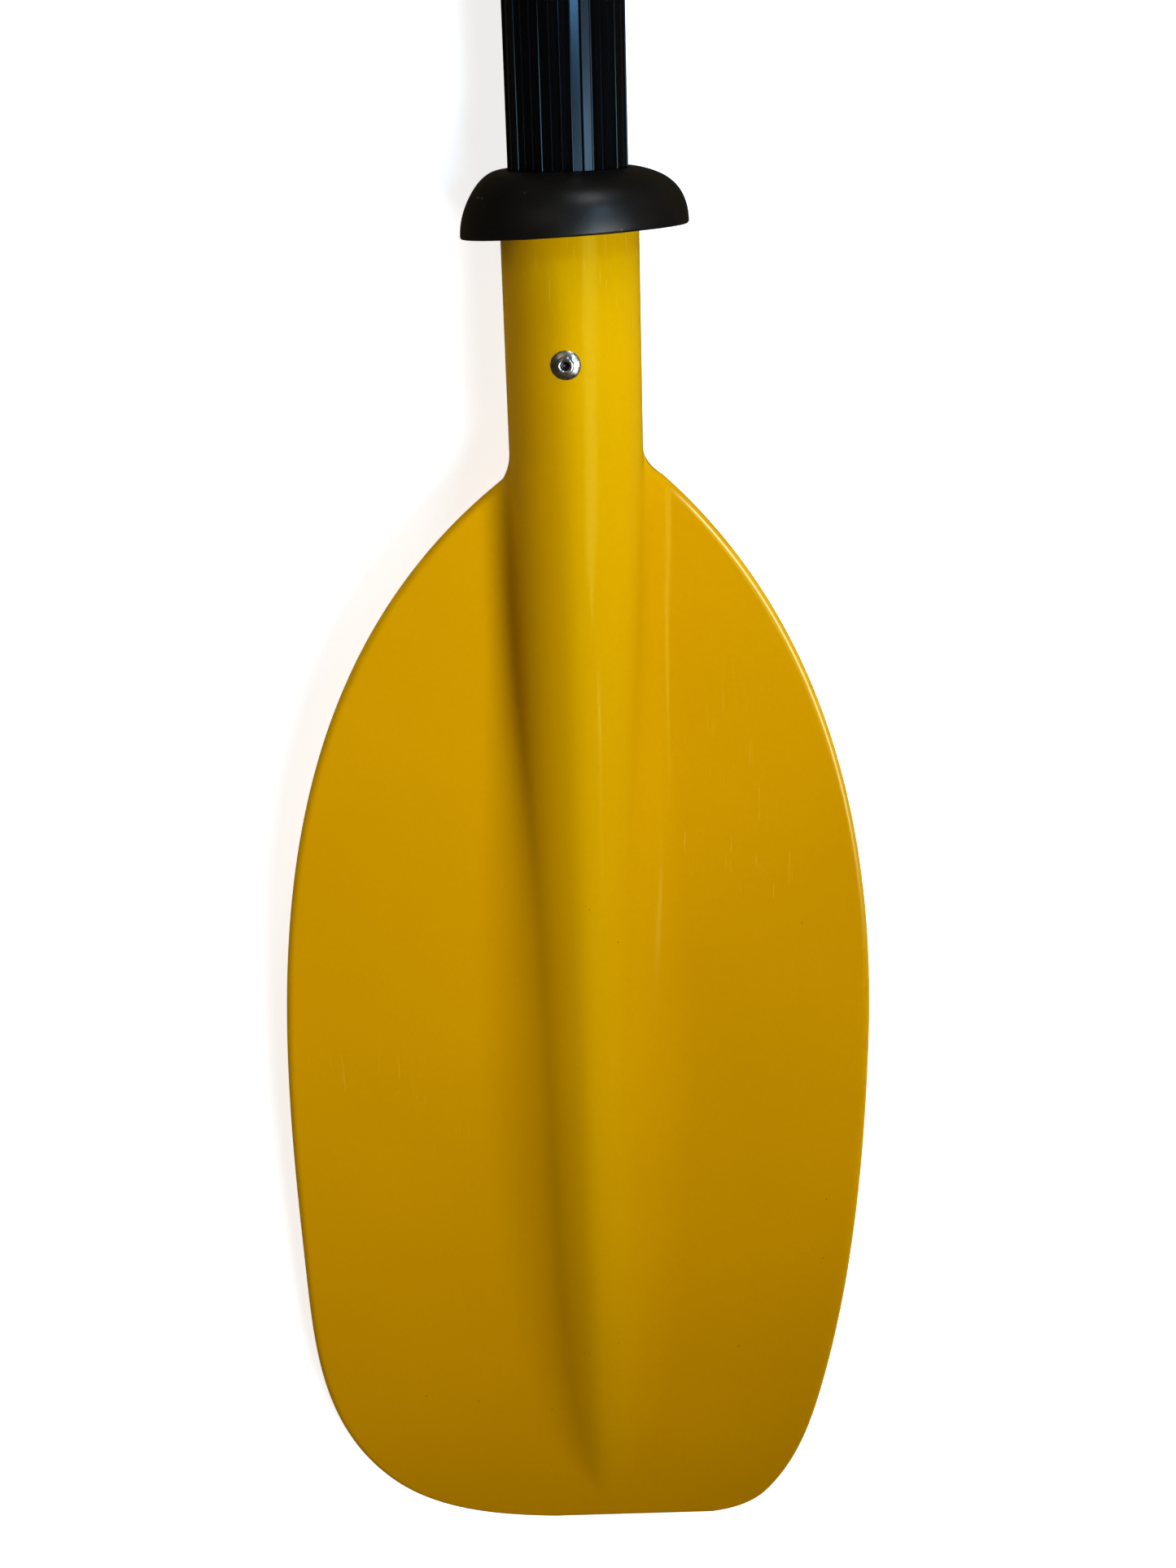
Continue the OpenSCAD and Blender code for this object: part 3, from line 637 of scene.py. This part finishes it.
def strip_mesh(seat_z):
    """Folded spring strip with its bend to the right of the button: points and faces."""
    knee, knee_drop = 0.5, 0.1
    mid_z = seat_z - STRIP_T / 2
    bend_r = STRIP_BEND_R - STRIP_T / 2
    lean = math.degrees(math.atan2(mid_z - bend_r, STRIP_LEG))
    bend = arc((STRIP_FLAT + STRIP_LEG, 0), (bend_r, bend_r), 90 - lean, lean - 90, 24)
    flat = np.linspace((-STRIP_FLAT, mid_z), (STRIP_FLAT - knee, mid_z), 13)
    leg = np.linspace((STRIP_FLAT + knee, mid_z - knee_drop), bend[0], 40)[:-1]
    upper = np.concatenate([flat, leg])
    path = np.concatenate([upper, bend, upper[::-1] * (1, -1)])
    ahead = np.gradient(path, axis=0)
    ahead /= np.linalg.norm(ahead, axis=1)[:, None]
    out = np.column_stack([-ahead[:, 1], ahead[:, 0]])
    half_w, half_t, edge = BUTTON_R, STRIP_T / 2, 0.15
    quarter = [(half_w - edge, half_t), (half_w, half_t - edge)]
    right = quarter + [(w, -t) for w, t in reversed(quarter)]
    section = np.array(right + [(-w, t) for w, t in reversed(right)])
    places = path[:, None, :] + section[None, :, 1:] * out[:, None, :]
    across = np.repeat(section[None, :, :1], len(path), 0)
    points = np.concatenate([places[..., :1] + BUTTON_X, across, places[..., 1:]], -1).reshape(-1, 3)
    count = len(section)
    last = len(points) - count
    return points, grid_faces(len(path), count) + [list(range(count)), list(range(last, last + count))]


def make_spring(material):
    """Snap button and its folded strip, one pressed piece."""
    seat_z = math.sqrt(FERRULE_BORE_R ** 2 - BUTTON_R ** 2) - FERRULE_CLEAR
    top = SHAFT_R + BUTTON_PROUD
    edge, foot_ease = 0.3, 0.02
    dome_r = (BUTTON_R ** 2 + BUTTON_DOME_H ** 2) / (2 * BUTTON_DOME_H)
    dome_half = math.degrees(math.asin((BUTTON_R - edge) / dome_r))
    dome = arc((top - dome_r, 0), (dome_r, dome_r), 0, dome_half, 16)
    side_top = dome[-1][0] - edge
    rounded = arc((side_top, BUTTON_R - edge), (edge, edge), 60, 90, 4)
    foot_z = seat_z - STRIP_T / 2
    button = dome + rounded + [(foot_z, BUTTON_R - foot_ease), (foot_z, 0)]
    points, faces = lathe(button, 72)
    piece = add_mesh("snap_spring", *strip_mesh(seat_z), material, None, "spring_steel", "snap_button")
    weld(piece)
    cut(piece, [(standing(points, BUTTON_X, 0), faces)], "UNION")
    sharpen(piece, 35)
    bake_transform(piece)


def make_plug(side, material):
    """Foam plug with edges rounded where it was pushed into the tube."""
    start = FERRULE_L / 2 + PLUG_GAP
    end = start + PLUG_L
    soft, dish, flat_r = 2.5, 0.3, TUBE_BORE_R * 0.6
    section = [(start + dish, 0), (start, flat_r)]
    section += arc((start + soft, TUBE_BORE_R - soft), (soft, soft), 180, 90, 8)
    section += arc((end - soft, TUBE_BORE_R - soft), (soft, soft), 90, 0, 8)
    section += [(end, flat_r), (end - dish, 0)]
    points, faces = lathe(section, 64)
    piece = add_mesh(f"float_{side}", facing(points, side), faces, material, f"{side}_half",
                     "float_foam", f"float_plug_{side}")
    weld(piece)


# Materials

class Finish:
    """One node material, with short ways to add nodes to it."""

    def __init__(self, name):
        self.made = bpy.data.materials.new(name)
        self.made.use_nodes = True
        self.tree = self.made.node_tree
        self.shader = self.tree.nodes["Principled BSDF"]
        self.place = self.add("TexCoord").outputs["Object"]

    def add(self, kind, inputs=(), **settings):
        """Adds a node. Inputs take numbers or the outputs of other nodes."""
        node = self.tree.nodes.new("ShaderNode" + kind)
        for key, value in settings.items():
            setattr(node, key, value)
        for key, value in dict(inputs).items():
            self.put(node, key, value)
        return node

    def put(self, node, key, value):
        """Sets one input of a node to a number or links an output to it."""
        socket = next(s for s in node.inputs if s.name == key and s.enabled)
        if isinstance(value, bpy.types.NodeSocket):
            self.tree.links.new(value, socket)
        else:
            socket.default_value = value

    def set(self, **values):
        """Sets the shader's own inputs, with spaces in their names written as _."""
        for key, value in values.items():
            self.put(self.shader, key.replace("_", " "), value)

    def noise(self, scale, detail=2.0, stretch=None, turn=0.0):
        """Noise in the object's own space, finer along an axis where stretch is larger."""
        place = self.place
        if stretch:
            place = self.add("Mapping", {"Vector": place, "Rotation": (0, 0, math.radians(turn)),
                                         "Scale": stretch}).outputs["Vector"]
        return self.add("TexNoise", {"Vector": place, "Scale": scale, "Detail": detail}).outputs["Fac"]

    def cells(self, scale):
        """Distance to the nearest of many scattered points."""
        return self.add("TexVoronoi", {"Vector": self.place, "Scale": scale}).outputs["Distance"]

    def span(self, value, low, high, to_low=0.0, to_high=1.0):
        """Maps a stretch of values to another, held at both ends."""
        ends = {"From Min": low, "From Max": high, "To Min": to_low, "To Max": to_high}
        return self.add("MapRange", {"Value": value, **ends}).outputs["Result"]

    def math(self, operation, a, b):
        """One sum of two numbers or outputs."""
        node = self.add("Math", operation=operation)
        for socket, value in zip(node.inputs, (a, b)):
            if isinstance(value, bpy.types.NodeSocket):
                self.tree.links.new(value, socket)
            else:
                socket.default_value = value
        return node.outputs["Value"]

    def mix(self, share, a, b):
        """Mixes two colours, each a colour or an output."""
        node = self.add("Mix", data_type="RGBA")
        for key, value in (("Factor", share), ("A", a), ("B", b)):
            ready = isinstance(value, (bpy.types.NodeSocket, float))
            self.put(node, key, value if ready else (*value, 1))
        return next(s for s in node.outputs if s.enabled)

    def bump(self, height, strength, distance):
        normal = self.add("Bump", {"Height": height, "Strength": strength, "Distance": distance})
        self.set(Normal=normal.outputs["Normal"])


def blade_plastic():
    """Yellow moulded plastic with mottling, specks, scratches and scuffs, and painted light: a paler rim, a
    highlight line, a sheen on the lit side of spine and sleeve, painted shade on its other side and below the
    drip ring, and a darker tip.
    """
    f = Finish("blade_plastic")
    rim = f.add("Attribute", attribute_name="rim").outputs["Fac"]
    painted_sheen = f.add("Attribute", attribute_name="painted_sheen").outputs["Fac"]
    painted_shade = f.add("Attribute", attribute_name="painted_shade").outputs["Fac"]
    wear_and_edge_highlight = f.add("Attribute", attribute_name="wear_and_edge_highlight").outputs["Fac"]
    along = f.add("SeparateXYZ", {"Vector": f.place}).outputs["X"]
    tip = f.span(f.math("ABSOLUTE", along, 0.0), 0.78, 1.09)
    broad = f.span(f.noise(9.0, 3.0), 0.3, 0.7)
    # Darker and more orange towards the tip: painted shade that deepens the light's falloff along the blade.
    colour = f.mix(broad, f.mix(tip, (0.475, 0.235, 0.0002), (0.430, 0.198, 0.0002)),
                   f.mix(tip, (0.52, 0.260, 0.0002), (0.475, 0.222, 0.0002)))
    # Painted sheen on the lit side of spine and sleeve, weaker towards the tip.
    painted_sheen = f.math("MULTIPLY", painted_sheen, f.span(tip, 0.0, 1.0, 1.0, 0.3))
    colour = f.mix(painted_sheen, colour, (0.475, 0.262, 0.0002))
    # Painted shade on the shaded side of spine and sleeve, and the ring's painted shadow.
    colour = f.mix(f.math("MULTIPLY", painted_shade, 0.18), colour, (0.0, 0.0, 0.0))
    # Paler near the rim: painted light that lifts the shade on the rounded edge.
    colour = f.mix(f.span(rim, 0.65, 0.95, 0.0, 0.6), colour, (0.62, 0.36, 0.002))
    # The thin pale line inside the upper right edge is a painted highlight.
    colour = f.mix(f.math("MULTIPLY", wear_and_edge_highlight, 0.75), colour, (0.95, 0.78, 0.3))
    mottle = f.span(f.noise(700.0, 4.0), 0.35, 0.65)
    colour = f.mix(f.math("MULTIPLY", mottle, 0.10), colour, (0.40, 0.19, 0.0))
    specks = f.math("MULTIPLY", f.span(f.cells(150.0), 0.05, 0.03), f.span(f.noise(45.0), 0.56, 0.6))
    colour = f.mix(specks, colour, (0.12, 0.06, 0.005))
    scratch = f.math("MAXIMUM", f.span(f.noise(1.0, 1.0, (70, 2600, 70), 31.0), 0.70, 0.74),
                     f.span(f.noise(1.0, 1.0, (110, 3000, 110), -52.0), 0.71, 0.75))
    scratch = f.math("MULTIPLY", scratch, f.span(f.noise(14.0), 0.62, 0.68))
    colour = f.mix(f.math("MULTIPLY", scratch, 0.2), colour, (0.75, 0.48, 0.06))
    scuff = f.math("MULTIPLY", f.span(rim, 0.35, 0.8), f.span(f.noise(160.0, 6.0), 0.6, 0.66))
    colour = f.mix(f.math("MULTIPLY", scuff, 0.15), colour, (0.16, 0.09, 0.02))
    sheen = f.span(f.noise(60.0, 5.0), 0.3, 0.7, 0.11, 0.16)
    rough = f.math("ADD", sheen, f.math("MULTIPLY", scratch, 0.2))
    f.set(Base_Color=colour, Roughness=rough, Specular_IOR_Level=0.035,
          Specular_Tint=(1, 0.95, 0.1, 1))
    f.bump(f.math("ADD", f.noise(260.0, 3.0), f.math("MULTIPLY", scratch, -0.4)), 0.04, 0.0002)
    return f.made


def black_tube():
    """Black anodised tube with drawing lines along it, dust and small bright nicks."""
    f = Finish("black_tube")
    lines = f.noise(1.0, 3.0, (3, 1500, 1500))
    colour = f.mix(f.span(lines, 0.3, 0.7), (0.0006, 0.0006, 0.0007), (0.0014, 0.0014, 0.0017))
    dust = f.math("MULTIPLY", f.span(f.cells(420.0), 0.10, 0.05), f.span(f.noise(80.0), 0.64, 0.68))
    colour = f.mix(f.math("MULTIPLY", dust, 0.5), colour, (0.25, 0.26, 0.27))
    f.set(Base_Color=colour, Roughness=f.span(lines, 0.3, 0.7, 0.12, 0.18), Specular_IOR_Level=0.12,
          Specular_Tint=(0.4, 0.68, 1, 1))
    f.bump(lines, 0.03, 0.00005)
    return f.made


def drip_rubber():
    """Matt black rubber, browner where it is worn, with pale dust."""
    f = Finish("drip_rubber")
    wear_and_edge_highlight = f.span(f.noise(60.0, 4.0), 0.4, 0.7)
    colour = f.mix(wear_and_edge_highlight, (0.0020, 0.0018, 0.0016), (0.0045, 0.0032, 0.0024))
    dust = f.math("MULTIPLY", f.span(f.cells(330.0), 0.13, 0.06), f.span(f.noise(55.0), 0.57, 0.63))
    colour = f.mix(f.math("MULTIPLY", dust, 0.6), colour, (0.2, 0.19, 0.17))
    f.set(Base_Color=colour, Roughness=f.span(f.noise(180.0, 5.0), 0.3, 0.7, 0.36, 0.44),
          Specular_IOR_Level=0.2)
    f.bump(f.noise(900.0, 5.0), 0.25, 0.0001)
    return f.made


def metal(name, dark, light, rough, stretch):
    """Bare metal with fine lines that run where stretch is smallest."""
    f = Finish(name)
    lines = f.noise(1.0, 4.0, stretch)
    stain = f.noise(300.0, 3.0)
    f.set(Base_Color=f.mix(f.span(stain, 0.35, 0.7), dark, light), Metallic=1.0,
          Roughness=f.span(lines, 0.3, 0.7, rough * 0.8, rough * 1.25))
    f.bump(lines, 0.08, 0.00005)
    return f.made


def float_foam():
    """White closed-cell foam."""
    f = Finish("float_foam")
    cells = f.cells(450.0)
    f.set(Base_Color=f.mix(f.span(cells, 0.1, 0.7), (0.62, 0.61, 0.57), (0.82, 0.81, 0.78)),
          Roughness=0.85)
    f.bump(cells, 0.5, 0.0005)
    return f.made


def make_paddle():
    """All materials and pieces."""
    yellow, black, rubber = blade_plastic(), black_tube(), drip_rubber()
    alloy = metal("rivet_alloy", (0.3, 0.3, 0.31), (0.5, 0.5, 0.5), 0.26, (900, 900, 900))
    # Nearly black steel: painted shade for the dark hole in the middle of each rivet.
    steel = metal("mandrel_steel", (0.02, 0.02, 0.022), (0.06, 0.06, 0.065), 0.35, (1500, 1500, 1500))
    ferrule = metal("ferrule_alloy", (0.6, 0.61, 0.62), (0.76, 0.77, 0.78), 0.3, (5, 1600, 1600))
    spring = metal("spring_steel", (0.5, 0.5, 0.49), (0.7, 0.7, 0.69), 0.22, (30, 1400, 1400))
    foam = float_foam()
    for side in SIDES:
        make_blade(side, yellow)
        make_shaft(side, black)
        make_ring(side, rubber)
        make_plug(side, foam)
    make_rivets(alloy, steel)
    make_seal(rubber)
    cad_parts["ferrule"].data.materials[0] = ferrule
    make_spring(spring)


# Floor, light and camera

def add_stage(name, points, faces, base, glow):
    """A plain sheet that glows a little and isn't mirrored in the paddle."""
    mesh = bpy.data.meshes.new(name)
    mesh.from_pydata(points, [], faces)
    f = Finish(name + "_paper")
    f.set(Base_Color=f.mix(f.noise(3.0), (base, base, base), (base * 1.04, base * 1.04, base * 1.04)),
          Roughness=0.9, Specular_IOR_Level=0.1, Emission_Color=(1, 1, 1, 1), Emission_Strength=glow)
    mesh.materials.append(f.made)
    sheet = bpy.data.objects.new(name, mesh)
    bpy.context.scene.collection.objects.link(sheet)
    sheet.visible_glossy = False
    return sheet


def make_stage():
    """Pale floor, and walls far away that the camera sees and that give the paddle no light."""
    low, reach, top = CAD_BOX[0].z, 9.0, 12.0
    corners = [(-reach, -reach), (reach, -reach), (reach, reach), (-reach, reach)]
    floor = [(x, y, low) for x, y in corners]
    add_stage("floor", floor, [[0, 1, 2, 3]], 0.5, 0.8)
    ceiling = [(x, y, top) for x, y in corners]
    sides = [[i, (i + 1) % 4, (i + 1) % 4 + 4, i + 4] for i in range(4)]
    walls = add_stage("walls", floor + ceiling, sides + [[7, 6, 5, 4]], 0.0, 0.83)
    walls.visible_diffuse = False
    walls.visible_shadow = False


def add_area(name, place, target, size, power, colour=(1, 1, 1), spread=180):
    """A rectangular lamp that faces a target, its beam as wide as spread in degrees."""
    lamp = bpy.data.lights.new(name, "AREA")
    lamp.shape = "RECTANGLE"
    lamp.size, lamp.size_y = size
    lamp.energy = power
    lamp.color = colour
    lamp.spread = math.radians(spread)
    holder = bpy.data.objects.new(name, lamp)
    holder.location = place
    holder.rotation_euler = (Vector(target) - Vector(place)).to_track_quat("-Z", "Y").to_euler()
    bpy.context.scene.collection.objects.link(holder)


def make_light():
    """A window for each half, a warm fill, and small lamps for the sheen on the left half."""
    for way, side in ((-1, "left"), (1, "right")):
        add_area(f"window_{side}", (way * 0.835, -0.337, 0.75), (way * 0.301, 0.496, 0.602),
                 (0.45, 0.45), 14.9, (0.9, 0.95, 1.0))
    add_area("left_fill", (-0.2, 0.5, 0.8), (-0.75, 0, 0), (0.5, 0.5), 0.8, (1.0, 0.85, 0.65))
    add_area("ring_light", (-0.1, -0.5, 0.95), (-0.61, 0, 0), (0.12, 0.12), 0.042,
             (0.4, 0.7, 1.0), 12)
    add_area("shaft_light", (-0.54, -0.35, 0.95), (-0.6, 0, 0), (0.12, 0.12), 0.03,
             (0.45, 0.75, 1.0), 16)
    add_area("low_window", (-1.43, -0.64, 0.82), (-0.85, 0, 0), (0.02, 0.12), 0.6)
    add_area("edge_light", (-0.72, -0.62, 0.67), (-0.82, -0.06, 0), (0.3, 0.02), 0.6)
    world = bpy.data.worlds.new("studio")
    world.use_nodes = True
    sky = world.node_tree.nodes["Background"].inputs
    sky["Color"].default_value = (1.0, 0.75, 0.42, 1)
    sky["Strength"].default_value = 0.06
    bpy.context.scene.world = world
    bpy.context.scene.view_settings.view_transform = "Standard"


# The photograph: focal length and height in pixels, then how its axis meets the paddle, in millimetres
FOCAL_PX = 2450.0
PHOTO_H = 1927.0
VIEW_TILT = math.radians(20.82)
VIEW_ROLL = math.atan(0.0291)
VIEW_DISTANCE = 552.2
VIEW_T = 85.2
VIEW_Y = -0.56


def make_camera():
    """The camera looks down on the left blade, tilted as in the photograph, with its top along +X."""
    lens = bpy.data.cameras.new("camera")
    lens.sensor_width = 36
    lens.lens = FOCAL_PX / PHOTO_H * lens.sensor_width
    camera = bpy.data.objects.new("camera", lens)
    aim = Vector((-(NECK_X + VIEW_T), VIEW_Y, 0))
    forward = Vector((-math.sin(VIEW_TILT), 0, -math.cos(VIEW_TILT)))
    level_right = Vector((0, -1, 0))
    level_down = Vector((-math.cos(VIEW_TILT), 0, math.sin(VIEW_TILT)))
    right = math.cos(VIEW_ROLL) * level_right + math.sin(VIEW_ROLL) * level_down
    down = -math.sin(VIEW_ROLL) * level_right + math.cos(VIEW_ROLL) * level_down
    place = (aim - forward * VIEW_DISTANCE) * MM
    turn = Matrix((right, -down, -forward)).transposed().to_4x4()
    camera.matrix_world = Matrix.Translation(place) @ turn
    bpy.context.scene.collection.objects.link(camera)
    bpy.context.scene.camera = camera


make_paddle()
make_stage()
make_light()
make_camera()
